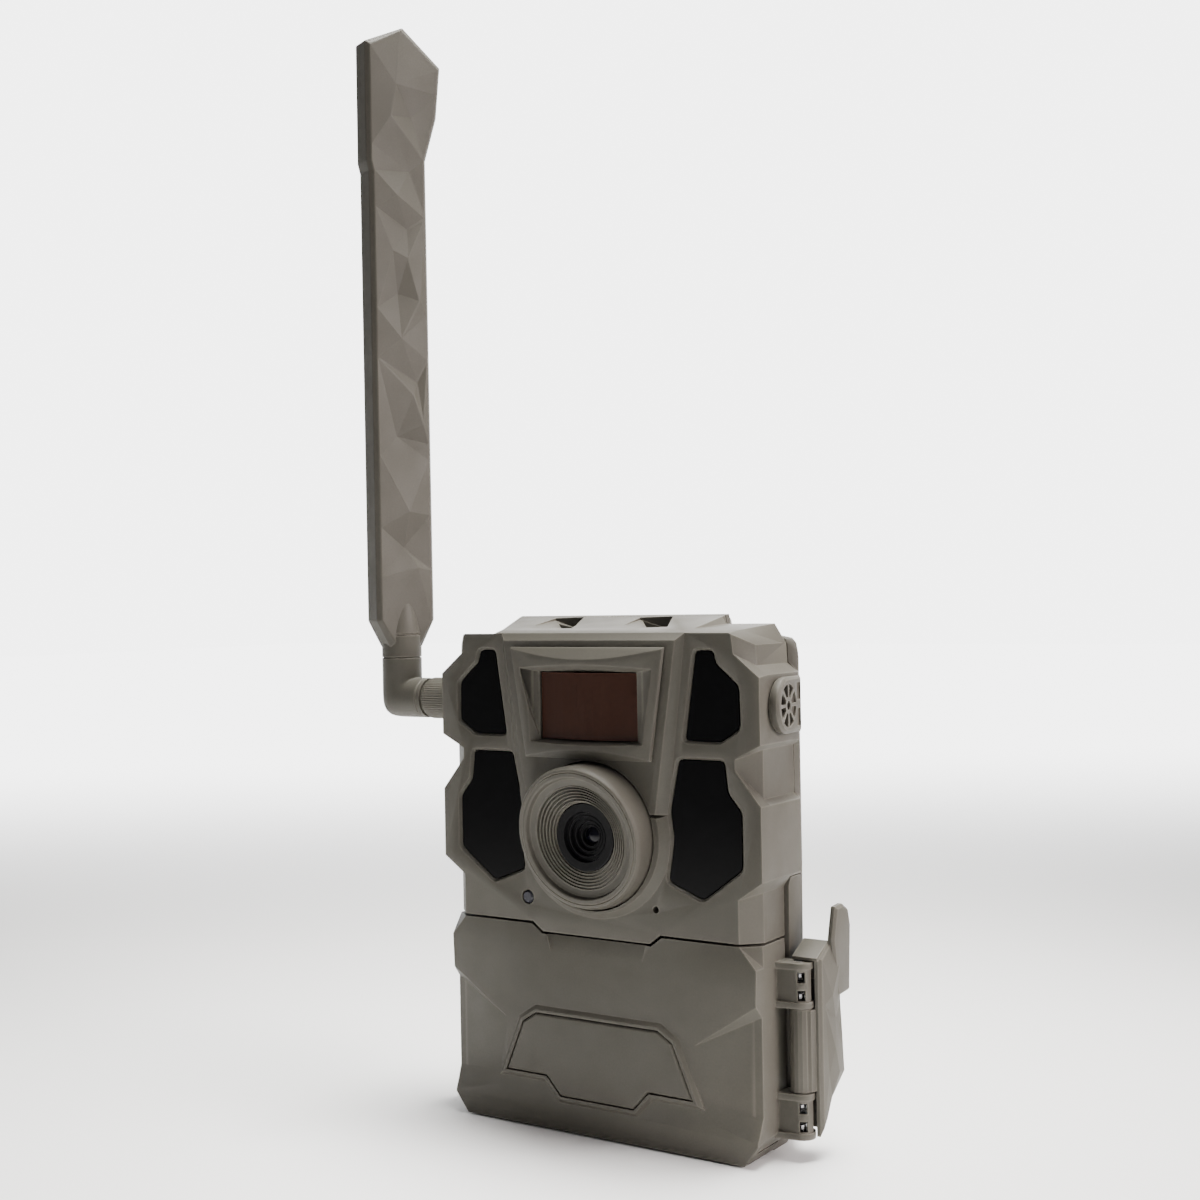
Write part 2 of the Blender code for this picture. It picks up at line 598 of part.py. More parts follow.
def make_lens(black, glass):
    centre = (0, 0, LENS_Z)
    barrel = [
        (9.3, -2.6), (9.3, 9.0), (6.5, 9.0), (6.5, 14.0), (0, 14.0), (0, 6.6), (4.3, 6.6), (4.3, 1.0),
        (6.2, 0.2), (6.2, -0.9), (8.0, -1.6), (8.0, -2.6),
    ]
    add("lens_barrel", turned(barrel, centre, "D", 24), black, smooth=30)
    dome = [(0, 5.0), (4.0, 5.0), (4.0, 2.2), (3.0, 1.5), (1.6, 1.0), (0, 0.8)]
    add("lens_element", turned(dome, centre, "D", 20), glass, smooth=60)
    add("lens_cover", disc(7.7, -2.3, -1.9, centre, "D", 24), glass, smooth=30)
    board = block((-13, 14.3, 72.0), (13, 15.8, 97.0))
    add("image_sensor_board", board, material("circuit_board", BOARD_GREEN, 0.4))


def make_front_fittings(clear, black):
    light_guide = [(0, -0.2), (1.4, -0.2), (1.8, 0.3), (1.8, 3.4), (0, 3.4)]
    add("status_lens", turned(light_guide, (STATUS_AT[0], 0, STATUS_AT[1]), "D", 12), clear, smooth=40)
    add("microphone", disc(2.8, 3.0, 5.4, (MICROPHONE_AT[0], 0, MICROPHONE_AT[1]), "D", 12), black, smooth=40)
    add("pir_sensor", turned([(0, 6.5), (4.1, 6.5), (4.1, 10.0), (4.7, 10.0), (4.7, 10.8), (0, 10.8)],
                             (0, 0, PIR_MIDDLE_Z), "D", 12), material("steel", STEEL, 0.3, 1.0), smooth=40)


def vent_ring(x_front, x_rear, inset):
    """The vent's outline, round in front and straight behind, on a face that leans in towards the back."""
    depth, height = VENT_AT
    radius = VENT_RADIUS - inset
    rear = 22.0 - inset
    nose = arc((depth, height), radius, 90, 270, 12)
    outline = [(rear, height + radius)] + nose + [(rear, height - radius)]
    front = depth - VENT_RADIUS
    lean = (x_rear - x_front) / (22.0 - front)
    return [(x_front + lean * (d - front), d, z) for d, z in outline]


def make_vent_cap(finish):
    """Vent on the right side: a ring of openings about a centre hole, two slots behind, and a plug."""
    cap = add("vent_cap", loft([
        vent_ring(52.8, 52.8, 0), vent_ring(54.9, 53.0, 0), vent_ring(55.8, 53.6, 0.8),
    ]), finish)
    depth, height = VENT_AT
    join(cap, disc(5.0, 48.2, 53.2, (0, depth, height), "X", 16))
    cut(cap, disc(1.3, 53.6, 58, (0, depth, height), "X", 8))
    petals = 8
    for i in range(petals):
        turn = 360 * (i + 0.5) / petals
        petal = arc(VENT_AT, 5.7, turn - 17, turn + 17, 2) + arc(VENT_AT, 2.3, turn + 14, turn - 14, 1)
        cut(cap, loft([[(x, d, z) for d, z in petal] for x in (53.5, 58)]))
    for low in (height - 5.8, height + 1.2):
        cut(cap, block((53.2, 18.3, low), (58, 21.1, low + 4.6)))
    return cap


# ---------------------------------------------------------------- antenna


def make_antenna(finish, brass):
    depth, height = SIDE_PORT
    centre = (0, depth, height)
    socket = [
        (0, -45.8), (5.2, -45.8), (5.2, -47.2), (3.1, -47.2), (3.1, -58.5), (1.6, -58.5), (1.6, -50), (0, -50),
    ]
    add("antenna_socket", turned(socket, centre, "X", 12), brass, smooth=30)
    nut_profile = [
        (3.3, -53.2), (5.9, -53.2), (6.2, -53.9), (6.2, -67.2), (5.9, -67.8), (5.9, NUT_END),
        (4.2, NUT_END), (4.2, NUT_END + 2), (3.3, NUT_END + 2),
    ]
    facets = 28
    nut = turned(nut_profile, centre, "X", facets)
    for vertex in nut.verts:
        around = Vector((vertex.co.y - depth, vertex.co.z - height))
        if around.length > 6.1 and round(math.atan2(around.y, around.x) / math.tau * facets) % 2:
            vertex.co.yz = vertex.co.yz - around.normalized() * 0.3
    add("antenna_nut", nut, finish, pivot=(-58, depth, height), smooth=20)
    make_elbow(finish)
    make_paddle(finish, brass)


def make_elbow(finish):
    """Right-angle elbow: a neck inside the nut, a tight bend, and a socket for the blade's spigot."""
    depth, height = SIDE_PORT
    inner = 0.4
    corner = Vector((STEM_X + STEM_RADIUS + inner, depth, height + STEM_RADIUS + inner))
    sides, steps, squareness = 16, 8, 6

    def ring(turn, stretch, shift):
        """A round section hung from the bend's inner corner, turned from upright to level."""
        away = Vector((-math.sin(turn), 0, -math.cos(turn)))
        points = []
        for k in range(sides):
            angle = math.tau * k / sides
            reach = inner + STEM_RADIUS * (1 - math.cos(angle))
            sideways = Vector((0, STEM_RADIUS * math.sin(angle), 0))
            points.append(corner + away * reach * stretch + sideways + shift)
        return points

    rings = [ring(0, 1, Vector((NUT_END - GAP - corner.x, 0, 0)))]
    for i in range(steps + 1):
        turn = math.pi / 2 * i / steps
        squared = math.cos(turn) ** squareness + math.sin(turn) ** squareness
        rings.append(ring(turn, squared ** (-1 / squareness), Vector((0, 0, 0))))
    rings.append(ring(math.pi / 2, 1, Vector((0, 0, SWIVEL_Z - corner.z))))
    elbow = add("antenna_elbow", loft(rings), finish, pivot=(STEM_X, depth, height), smooth=40)
    join(elbow, disc(3.0, NUT_END - 4, -61.0, (0, depth, height), "X", 12))
    cut(elbow, disc(3.2, 125.0, SWIVEL_Z + 1, (STEM_X, depth, 0), "Z", 12))
    return elbow


def paddle_point(across, out, z):
    """A point of the blade: across its width, out of its broad face, and up."""
    depth = SIDE_PORT[0]
    wide = Vector((math.cos(PADDLE_AZIMUTH), math.sin(PADDLE_AZIMUTH), 0))
    face = Vector((math.sin(PADDLE_AZIMUTH), -math.cos(PADDLE_AZIMUTH), 0))
    return Vector((STEM_X, depth, z)) + wide * across + face * out


def make_paddle(finish, brass):
    """Blade antenna: a flat moulding with bevelled rims, its round stem and the spigot it swivels on."""
    rim = shrunk(PADDLE_OUTLINE, 1.2)
    rings = [
        [paddle_point(u, -PADDLE_HALF_THICKNESS, z) for u, z in rim],
        [paddle_point(u, -PADDLE_HALF_THICKNESS + 1.4, z) for u, z in PADDLE_OUTLINE],
        [paddle_point(u, PADDLE_HALF_THICKNESS - 1.4, z) for u, z in PADDLE_OUTLINE],
        [paddle_point(u, PADDLE_HALF_THICKNESS, z) for u, z in rim],
    ]
    stem = (STEM_X, SIDE_PORT[0], 0)
    paddle = add("antenna_paddle", loft(rings), finish, pivot=(STEM_X, SIDE_PORT[0], SWIVEL_Z))
    cone = [
        (0, 125.6), (3.0, 125.6), (3.0, SWIVEL_Z + GAP), (STEM_RADIUS, SWIVEL_Z + GAP), (STEM_RADIUS, 140.0),
        (3.6, 158.0), (0, 158.0),
    ]
    join(paddle, turned(cone, stem, "Z", 16))
    slot = [(-2.6, 1.0), (2.6, 1.0), (2.6, -1.0), (-2.6, -1.0)]
    cut(paddle, loft([[paddle_point(u, out, z) for u, out in slot] for z in (120.0, 270.0)]))
    strip = [(-2.2, 0.5), (2.2, 0.5), (2.2, -0.5), (-2.2, -0.5)]
    element = loft([[paddle_point(u, out, z) for u, out in strip] for z in (127.0, 266.0)])
    add("antenna_element", element, brass, pivot=(STEM_X, SIDE_PORT[0], SWIVEL_Z))


# ---------------------------------------------------------------- door and latch


def make_door(finish):
    """Lower front shell, hinged on the left, with hinge knuckles and the latch's lugs."""
    front, side = mirrored(DOOR_HALF_FRONT), mirrored(DOOR_HALF_SIDE)
    door = add("door", stacked((front, 0.0), (side, 4.0), (side, LOWER_SEAM - 0.2)), finish, pivot=(*HINGE, 30))
    slack = 0.45
    sill = DOOR_TOP - STEP_DROP
    notch = [(STEP_OUTER + slack, DOOR_TOP + 1), (STEP_OUTER + slack, DOOR_TOP), (STEP_INNER + slack, sill)]
    cut(door, slab(notch + flipped(notch), -2, LIP_DEPTH + 0.4))
    cut(door, block((-STEP_OUTER - 0.5, LIP_DEPTH, sill - 0.2), (STEP_OUTER + 2.8, 20, DOOR_TOP + 2)))
    cut(door, block((-47.8, 2.6, 3.0), (47.8, 20, 53.2)))
    cut(door, block((-47.8, 4.2, 50.0), (47.8, 20, 56.5)), block((-23.5, 4.2, 50.0), (25.8, 20, 60.0)))
    cut(door, door_recess(1), door_recess(-1))
    cut(door, top_facet())
    plinth_top, plinth_foot = shrunk(badge_outline(), -1.1), shrunk(badge_outline(), -2.2)
    join(door, stacked((plinth_top, -PLINTH), (plinth_foot, 0.05), (plinth_foot, 1.2)))
    cut(door, slab(shrunk(badge_outline(), -GAP), -2, 1.2))
    for low, high in ((8.0, 18.1), (41.9, 52.0)):
        back = LOWER_SEAM - 0.2
        web = [(HINGE[0], HINGE[1] - 3.0), (-49.5, HINGE[1] - 3.4), (-49.5, back), (HINGE[0], back)]
        join(door, column(web, low, high))
        join(door, disc(3.0, low, high, (HINGE[0], HINGE[1], 0), "Z", 16))
        cut(door, disc(1.3, low - 2, high + 2, (HINGE[0], HINGE[1], 0), "Z", 12))
    for low, high in LUG_PAIRS:
        for foot in (low, high - LUG_THICKNESS):
            join(door, column(lug_outline(), foot, foot + LUG_THICKNESS))
        join(door, column(lug_wall_outline(), low + 0.5, high - 0.5))
        for sill in (low + 2.0, low + 6.8):
            cut(door, column(lug_opening_outline(), sill, sill + 2.8))
    cut(door, disc(1.3, 2, 56, (LATCH[0], LATCH[1], 0), "Z", 12))
    return door


def door_recess(side):
    """A sunk side panel: a crease band above it, a floor that falls outwards, and the chin's edge below."""
    def floor(x):
        return 0.35 + 0.125 * (x - 31)
    rim = [(28.5, 32.0), (60, 49.2), (60, 4.2), (46, 7.8), (33.0, 10.9), (31.5, 15.0)]
    sunk = [(31.0, 30.0), (60, 44.2), (60, 12.6), (46, 13.5), (34.5, 14.2), (33.0, 17.0)]
    shape = loft([
        [(x, -3, z) for x, z in rim],
        [(x, 0, z) for x, z in rim],
        [(x, floor(x), z) for x, z in sunk],
    ])
    shape.transform(Matrix.Scale(side, 4, (1, 0, 0)))
    bmesh.ops.triangulate(shape, faces=shape.faces)
    bmesh.ops.recalc_face_normals(shape, faces=shape.faces)
    return shape


def top_facet():
    """Cuts a shallow facet below the seam's step, deepest at the door's top edge."""
    outline = mirrored([(17.4, 59.0), (15.0, 50.2)])
    return loft([
        [(x, -1.0, z) for x, z in outline],
        [(x, 1.3 if z > 55 else -0.02, z) for x, z in outline],
    ])


def lug_outline():
    """A rib that runs from the door's side out round the latch pin: (x, depth)."""
    back = LOWER_SEAM - 0.2
    tail = [(54.0, LATCH[1] + 3.0), (52.2, back), (49.0, back)]
    return [(49.0, 9.9)] + arc(LATCH, LUG_RADIUS, -100, 60, 7) + tail


def lug_wall_outline():
    """The wall between a pair of lugs, set back from their edges and just ahead of the spring."""
    outside, inside = arc(LATCH, LUG_RADIUS - 0.5, -100, 5, 6), arc(LATCH, 2.5, 5, -100, 6)
    return [(49.0, 11.2)] + outside + inside + [(49.0, 12.4)]


def lug_opening_outline():
    """A slit through that wall, square to its rounded face."""
    out = Vector((0.554, -0.832))
    across = Vector((0.832, 0.554)) * 1.1
    centre = Vector(LATCH)
    return [tuple(centre + out * r + across * side) for r, side in ((2.3, -1), (5.0, -1), (5.0, 1), (2.3, 1))]


def badge_outline():
    """A plain plate: a trapezoid with clipped upper corners and a shallow tab below."""
    return mirrored([(20.0, 32.6), (24.5, 29.8), (30.5, 15.6), (16.8, 15.6), (12.0, 10.4)])


def make_latch(finish, steel):
    """Latch lever on its pin, a hook that drops behind the housing's edge, and a finger tab."""
    x, depth = LATCH
    latch = add("latch", side_plate(LATCH_PLATE, 59.2, 61.0, 0.8), finish, pivot=(x, depth, 28))
    tab = side_plate(LATCH_TAB, 59.9, 61.7, 0.7)
    for vertex in tab.verts:
        vertex.co.x += 0.04 * (vertex.co.z - 41.5)
    join(latch, tab)
    roof = [(14.4, 52.8), (24.0, 52.8), (24.0, 56.4), (21.4, 57.1), (14.4, 53.6)]
    join(latch, loft([[(a, d, z) for d, z in roof] for a in (53.2, 60.4)]))
    join(latch, block((53.8, 18.9, 47.0), (60.2, 23.8, 53.4)))
    web = [
        (x - 2.0, depth + 0.4), (x, depth - 2.8), (58.8, depth - 0.9), (60.2, depth + 3.0), (59.6, depth + 4.4),
        (x, depth + 2.8),
    ]
    low, high = LUG_PAIRS[0][1] + GAP, LUG_PAIRS[1][0] - GAP
    join(latch, column(web, low + 0.2, high - 0.2))
    join(latch, disc(3.0, low, high, (x, depth, 0), "Z", 16))
    hook = [(49.2, 22.2), (59.6, 22.2), (59.6, 25.4), (50.4, 25.4)]
    join(latch, column(hook, 17.6, 38.4))
    cut(latch, disc(1.3, 0, 52.7, (x, depth, 0), "Z", 12))
    pin = disc(1.2, LUG_PAIRS[0][0] - 0.3, LUG_PAIRS[1][1] + 0.1, (x, depth, 0), "Z", 12)
    add("latch_pin", pin, steel, pivot=(x, depth, 28), smooth=40)
    for name, (foot, top) in zip(("latch_spring_lower", "latch_spring_upper"), LUG_PAIRS):
        low, high = foot + LUG_THICKNESS + GAP, top - LUG_THICKNESS - GAP
        turns, parts = 4, 8
        path = []
        for i in range(turns * parts + 1):
            angle = math.tau * i / parts
            height = low + 0.45 + (high - low - 0.9) * i / (turns * parts)
            path.append(Vector((x + 1.85 * math.cos(angle), depth + 1.85 * math.sin(angle), height)))
        add(name, swept(path, 0.35, 4), steel, pivot=(x, depth, low), smooth=60)


# ---------------------------------------------------------------- power and electronics


def make_battery_tray(finish, cell_finish):
    """Lift-out magazine: two rows of cells back to back, divided by a wall."""
    width = CELL_COLUMNS * CELL_PITCH
    low, high = TRAY_X - width / 2 - 1.2, TRAY_X + width / 2 + 1.2
    front, back = 4.6, 34.9
    tray = add("battery_tray", block((low, front, 3.5), (high, back, 56.3)), finish)
    inner = width / 2 + 0.1
    cut(tray, block((TRAY_X - inner, front - 2, 4.4), (TRAY_X + inner, 19.2, 55.4)))
    cut(tray, block((TRAY_X - inner, 20.2, 4.4), (TRAY_X + inner, back + 2, 55.4)))
    number = 0
    for depth in ROW_DEPTHS:
        for column_index in range(CELL_COLUMNS):
            number += 1
            x = TRAY_X + CELL_PITCH * (column_index - (CELL_COLUMNS - 1) / 2)
            foot, top = 4.7, 4.7 + CELL_LENGTH
            rim = top - 1.2
            nub = [(0, foot), (CELL_RADIUS, foot), (CELL_RADIUS, rim), (2.6, rim), (2.6, top), (0, top)]
            if (number + (depth > 20)) % 2:
                nub = [(r, foot + top - z) for r, z in reversed(nub)]
            add(f"cell_{number:02d}", turned(nub, (x, depth, 0), "Z", 12), cell_finish, smooth=30)


def make_boards(green):
    """Circuit boards: main board with its chips, two lamp boards and the control board."""
    main = add("main_board", block((-30, 30, 68.6), (30, 31.6, 120)), green)
    chips = (((-12, 27.4, 84), (6, 30.4, 102)), ((12, 28.2, 70), (24, 30.4, 78)), ((-26, 28.6, 106), (-16, 30.4, 114)))
    for low, high in chips:
        join(main, block(low, high))
    add("cell_modem", block((-22, 31.9, 84), (8, 34.6, 110)), material("shield_can", STEEL, 0.35, 1.0))
    for side, word in ((1, "right"), (-1, "left")):
        low, high = sorted((side * 31.6, side * 43.2))
        lamps = add(f"lamp_board_{word}", block((low, 9.0, 72), (high, 10.6, 130)), green)
        for z in (78, 88, 98, 120):
            for x in (34.6, 40.4):
                join(lamps, disc(2.0, 5.0, 9.3, (side * x, 0, z), "D", 6))
    board = add("control_board", block((27.0, 21.6, 6.0), (28.4, 33.0, 53.0)), green)
    join(board, block((28.0, 21.6, 39.0), (33.4, 26.0, 50.0)), block((28.0, 21.8, 23.0), (33.4, 26.0, 29.0)))


def make_controls(black, orange):
    """Slide switch, set-up button and memory card, all behind the door."""
    add("power_switch", block((29.2, 15.0, 42.8), (32.8, 21.2, 46.2)), black, pivot=(31, 18, 44.5))
    button = [(0, 15.6), (2.8, 15.6), (2.8, 19.4), (3.4, 19.4), (3.4, 20.6), (0, 20.6)]
    add("setup_button", turned(button, (31.0, 0, 26.0), "D", 12), orange, pivot=(31, 18, 26), smooth=30)
    add("memory_card", block((22.9, 14.2, 8.8), (25.0, 46.0, 32.8)), black, pivot=(24, 30, 20))
    can = material("shield_can", STEEL, 0.35, 1.0)
    socket = add("card_socket", block((21.0, 20.0, 7.0), (26.7, 38.0, 34.6)), can)
    cut(socket, block((22.6, 18.0, 8.4), (25.3, 47.0, 33.2)))


# ---------------------------------------------------------------- rear fittings


def make_rear_fittings(finish, brass, steel):
    """Strap bracket bridging the back, its threaded insert, and the screws."""
    foot = REAR_DEPTH + GAP
    bracket = add("strap_bracket", block((-27, foot, 24), (27, 58.0, 120)), finish)
    cut(bracket, block((-40, foot - 2, 54), (40, 55.4, 90)))
    for low in (28, 108):
        teeth = [(-24, 57.0), (24, 57.0), (24, 61.0), (12, 61.0), (0, 58.6), (-12, 61.0), (-24, 61.0)]
        join(bracket, column(teeth, low, low + 8))
    cut(bracket, disc(4.8, 40, 70, (0, 0, 99), "D", 16))
    for word, (x, z) in BRACKET_SCREWS.items():
        cut(bracket, disc(1.7, 40, 70, (x, 0, z), "D", 8))
        cut(bracket, disc(3.1, 54.9, 70, (x, 0, z), "D", 10))
        add(f"bracket_screw_{word}", screw(46.0, 55.0, 1.15, z, x, 1.35), steel, smooth=30)
    insert = [(2.7, 50.6), (4.5, 50.6), (4.5, 57.9), (2.7, 57.9)]
    add("tripod_insert", turned(insert, (0, 0, 99), "D", 16), brass, smooth=30)
    for word, (x, z) in CASE_SCREWS.items():
        for side, hand in ((1, "right"), (-1, "left")):
            add(f"case_screw_{word}_{hand}", screw(13.0, 44.6, 1.4, z, side * x, 1.4), steel, smooth=30)


def screw(tip, seat, shank, z, x, neck):
    """A pan-head screw driven from behind, with a blind cross-shaped recess cut as a round socket."""
    profile = [
        (0, tip), (shank * 0.5, tip), (shank, tip + 1.2), (shank, seat - 4), (neck, seat - 3), (neck, seat + 0.1),
        (2.7, seat + 0.1), (2.7, seat + 1.3), (2.0, seat + 2.0), (1.1, seat + 2.0), (1.1, seat + 1.0), (0, seat + 1.0),
    ]
    return turned(profile, (x, 0, z), "D", 8)


def main():
    clear_scene()
    shell = material("taupe_plastic", TAUPE, 0.62)
    dark_shell = material("dark_taupe_plastic", DARK_TAUPE, 0.6)
    black = material("black_plastic", BLACK, 0.45)
    gloss = material("smoked_window", BLACK, 0.12)
    brown = material("brown_window", (0.05, 0.032, 0.026), 0.35)
    glass = material("lens_glass", (0.02, 0.02, 0.03), 0.03)
    clear = material("clear_plastic", (0.25, 0.25, 0.28), 0.1)
    rubber = material("seal_rubber", (0.03, 0.03, 0.03), 0.85)
    steel = material("steel", STEEL, 0.3, 1.0)
    brass = material("brass", BRASS, 0.3, 1.0)
    green = material("circuit_board", BOARD_GREEN, 0.4)
    orange = material("orange_button", (0.6, 0.16, 0.02), 0.5)
    cell = material("cell_wrap", (0.05, 0.05, 0.055), 0.35)

    make_front_bezel(shell)
    make_rear_housing(shell)
    make_seals(rubber)
    make_windows(gloss)
    make_pir_frame(shell)
    make_pir_lens(brown)
    make_lens_hood(shell)
    make_lens(black, glass)
    make_front_fittings(clear, black)
    make_vent_cap(shell)
    make_antenna(shell, brass)
    make_door(shell)
    badge = loft([[(x, depth, z) for x, z in shrunk(badge_outline(), inset)]
                  for inset, depth in ((0.5, -PLINTH - 0.2), (0, -PLINTH + 0.3), (0, 0.9))])
    add("door_badge", badge, shell, pivot=(HINGE[0], HINGE[1], 30))
    hinge_pin = disc(1.2, 6.5, 53.5, (HINGE[0], HINGE[1], 0), "Z", 12)
    add("hinge_pin", hinge_pin, steel, pivot=(HINGE[0], HINGE[1], 30), smooth=40)
    make_latch(shell, steel)
    make_battery_tray(black, cell)
    make_boards(green)
    make_controls(black, orange)
    make_rear_fittings(dark_shell, brass, steel)


main()
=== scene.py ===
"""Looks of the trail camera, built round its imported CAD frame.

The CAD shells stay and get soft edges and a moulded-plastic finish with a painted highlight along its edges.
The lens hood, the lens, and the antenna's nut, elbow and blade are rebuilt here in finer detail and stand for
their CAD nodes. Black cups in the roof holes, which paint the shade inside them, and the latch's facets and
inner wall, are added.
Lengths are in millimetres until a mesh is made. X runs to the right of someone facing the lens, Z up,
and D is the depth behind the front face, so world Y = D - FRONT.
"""

import json
import math

import bmesh
import bpy
from mathutils import Matrix, Vector, geometry


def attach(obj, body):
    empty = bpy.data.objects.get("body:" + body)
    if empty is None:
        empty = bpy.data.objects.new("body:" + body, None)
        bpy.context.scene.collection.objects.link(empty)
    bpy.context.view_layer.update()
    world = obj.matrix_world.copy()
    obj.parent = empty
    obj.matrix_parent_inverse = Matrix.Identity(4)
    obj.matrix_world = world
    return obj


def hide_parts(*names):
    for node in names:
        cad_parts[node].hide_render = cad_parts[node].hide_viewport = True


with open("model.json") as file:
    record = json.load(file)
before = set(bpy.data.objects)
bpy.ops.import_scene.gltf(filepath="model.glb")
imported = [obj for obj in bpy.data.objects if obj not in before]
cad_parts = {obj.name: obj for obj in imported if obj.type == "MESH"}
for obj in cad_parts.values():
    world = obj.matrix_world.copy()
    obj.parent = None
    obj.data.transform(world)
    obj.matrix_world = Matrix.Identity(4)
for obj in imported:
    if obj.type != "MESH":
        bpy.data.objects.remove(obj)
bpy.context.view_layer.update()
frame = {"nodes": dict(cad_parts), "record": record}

MM = 0.001
FRONT = 30.0  # depth 0 lies this far in front of the world origin


# ---------------------------------------------------------------- camera, lights and floor

CAMERA_AT = (0.2546, -0.4070, 0.1497)
CAMERA_AZIMUTH = 0.58731
CAMERA_PITCH = 0.00189
CAMERA_ROLL = -0.01804
CAMERA_LENS = 49.5

ROOM_LIGHT = 0.18
BACKDROP_LIGHT = 5.0
BACKDROP_EDGE = (0.62, 0.9)  # cosines of the angle from the view's axis where the backdrop starts and is full
TOP_POWER = 4.5
RIGHT_POWER = 2.2
FLOOR_GLOW = 4.6
FLOOR_GLOW_SPAN = (0.15, 1.1)  # metres behind the middle of the object
FLOOR_HALF_WIDTH = 4


def map_range(tree, value, inside, outside, interpolation="LINEAR"):
    """A socket that goes from outside[0] to outside[1] as value goes from inside[0] to inside[1]."""
    made = tree.nodes.new("ShaderNodeMapRange")
    made.interpolation_type = interpolation
    tree.links.new(value, made.inputs["Value"])
    for socket, number in zip(("From Min", "From Max", "To Min", "To Max"), (*inside, *outside)):
        made.inputs[socket].default_value = number
    return made.outputs["Result"]


def camera_back():
    """The direction from the object towards the camera."""
    level = Vector((math.sin(CAMERA_AZIMUTH), -math.cos(CAMERA_AZIMUTH), 0))
    return (level + Vector((0, 0, math.tan(CAMERA_PITCH)))).normalized()


def add_camera():
    """A camera right of the front, level with the case, with the small roll of a hand-held shot."""
    back = camera_back()
    right = Vector((math.cos(CAMERA_AZIMUTH), math.sin(CAMERA_AZIMUTH), 0))
    up = back.cross(right)
    level = Matrix((right, up, back)).transposed()
    turned_level = level @ Matrix.Rotation(CAMERA_ROLL, 3, "Z")
    data = bpy.data.cameras.new("camera")
    data.lens = CAMERA_LENS
    data.sensor_width = 36
    data.clip_start = 0.01
    camera = bpy.data.objects.new("camera", data)
    camera.matrix_world = Matrix.Translation(CAMERA_AT) @ turned_level.to_4x4()
    bpy.context.scene.collection.objects.link(camera)
    bpy.context.scene.camera = camera


def add_area_light(name, place, aim, size, power, colour=(1, 1, 1), spread=180):
    data = bpy.data.lights.new(name, "AREA")
    data.size = size
    data.energy = power
    data.color = colour
    data.spread = math.radians(spread)
    light = bpy.data.objects.new(name, data)
    light.location = place
    light.rotation_euler = (Vector(aim) - Vector(place)).to_track_quat("-Z", "Y").to_euler()
    bpy.context.scene.collection.objects.link(light)


def add_surround():
    """A dim room with a lit white backdrop behind the object, blended by direction."""
    world = bpy.data.worlds.new("studio")
    world.use_nodes = True
    tree = world.node_tree
    background = tree.nodes["Background"]
    direction = tree.nodes.new("ShaderNodeTexCoord").outputs["Generated"]
    toward = tree.nodes.new("ShaderNodeVectorMath")
    toward.operation = "DOT_PRODUCT"
    toward.inputs[1].default_value = -camera_back()
    tree.links.new(direction, toward.inputs[0])
    glow = map_range(tree, toward.outputs["Value"], BACKDROP_EDGE, (ROOM_LIGHT, BACKDROP_LIGHT), "SMOOTHSTEP")
    tree.links.new(glow, background.inputs["Strength"])
    background.inputs["Color"].default_value = (1.0, 1.0, 1.0, 1)
    bpy.context.scene.world = world


def add_studio():
    """A pale floor, the surround, and soft lights above and to the right."""
    add_surround()
    centre = (0, 0, 0.10)
    add_area_light("top_light", (0.10, 0.15, 1.05), centre, 0.5, TOP_POWER, (1.0, 0.99, 0.95), 50)
    add_area_light("right_light", (1.0, 0.10, 0.40), centre, 0.5, RIGHT_POWER, (1.0, 0.90, 0.88), 60)
    shape = bmesh.new()
    bmesh.ops.create_grid(shape, x_segments=2, y_segments=2, size=FLOOR_HALF_WIDTH)
    mesh = bpy.data.meshes.new("floor")
    shape.to_mesh(mesh)
    shape.free()
    floor = bpy.data.objects.new("floor", mesh)
    bpy.context.scene.collection.objects.link(floor)
    mesh.materials.append(floor_finish())


# ---------------------------------------------------------------- materials

BLOTCH = 0.06  # how far the colour of a moulding drifts
EDGE_WIDTH = 0.7
EDGE_HIGHLIGHT = 1.7  # painted highlight: edges of the moulding are painted paler than its faces, as where they catch the light
